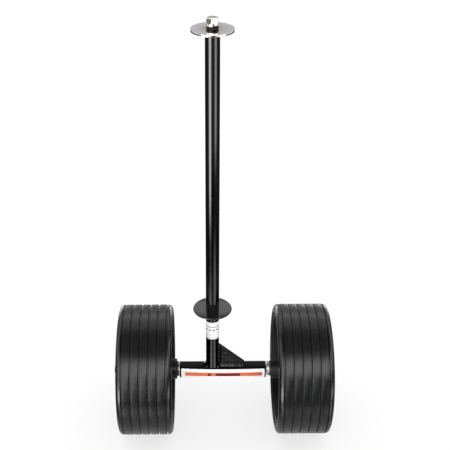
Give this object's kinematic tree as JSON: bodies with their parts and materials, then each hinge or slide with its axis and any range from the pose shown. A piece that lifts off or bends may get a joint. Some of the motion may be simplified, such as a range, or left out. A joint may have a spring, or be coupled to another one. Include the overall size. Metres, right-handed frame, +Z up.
{
  "type": "trailer jack wheel",
  "caption": "Swivel leg for a trailer jack: upright pole with seat flange and bolted retaining disc, on an axle tube with a gusset and wide ribbed wheels.",
  "frame": {"origin": "on the pole's axis at the top face of the seat flange, where the jack's outer tube rests", "axes": "+Z up the pole, +X along the axle towards the wheel that is further from the pole, -Y is the labelled front"},
  "size_m": [0.4314, 0.254, 0.8363],
  "materials": {
    "black_paint": "gloss black powder coat",
    "bright_plating": "bright plating",
    "plain_steel": "turned steel, plain",
    "zinc_steel": "zinc plated, satin",
    "tread_rubber": "semi-matt black moulded tread",
    "wheel_plastic": "moulded black plastic, fine grain",
    "bush_nylon": "black nylon",
    "pole_label_vinyl": "white film with two thin grey rings",
    "axle_label_vinyl": "white film with a plain orange band"
  },
  "bodies": {
    "frame": {"pole_tube": "black_paint", "pole_end_plug": "plain_steel", "top_bolt": "bright_plating", "top_lock_washer": "bright_plating", "top_spacer": "bright_plating", "retaining_disc": "bright_plating", "seat_flange": "black_paint", "flange_weld": "black_paint", "pole_base_weld": "black_paint", "axle_tube": "black_paint", "gusset_plate": "black_paint", "gusset_pole_weld_front": "black_paint", "gusset_pole_weld_back": "black_paint", "gusset_foot_weld_front": "black_paint", "gusset_foot_weld_back": "black_paint", "pole_label": "pole_label_vinyl", "axle_label": "axle_label_vinyl", "axle_shaft": "plain_steel", "left_inner_washer": "zinc_steel", "left_outer_washer": "zinc_steel", "left_lock_nut": "zinc_steel", "right_shim_washer": "zinc_steel", "right_inner_washer": "zinc_steel", "right_outer_washer": "zinc_steel", "right_lock_nut": "zinc_steel"},
    "left_wheel": {"left_tyre": "tread_rubber", "left_wheel_rim": "wheel_plastic", "left_wheel_disc": "wheel_plastic", "left_inner_bush": "bush_nylon", "left_outer_bush": "bush_nylon"},
    "right_wheel": {"right_tyre": "tread_rubber", "right_wheel_rim": "wheel_plastic", "right_wheel_disc": "wheel_plastic", "right_inner_bush": "bush_nylon", "right_outer_bush": "bush_nylon"}
  },
  "joints": [
    {"name": "left_wheel_roll", "type": "hinge", "parent": "frame", "child": "left_wheel", "pos_m": [-0.1295, 0, -0.146], "axis": [1, 0, 0], "continuous": true},
    {"name": "right_wheel_roll", "type": "hinge", "parent": "frame", "child": "right_wheel", "pos_m": [0.1745, 0, -0.146], "axis": [1, 0, 0], "continuous": true}
  ]
}
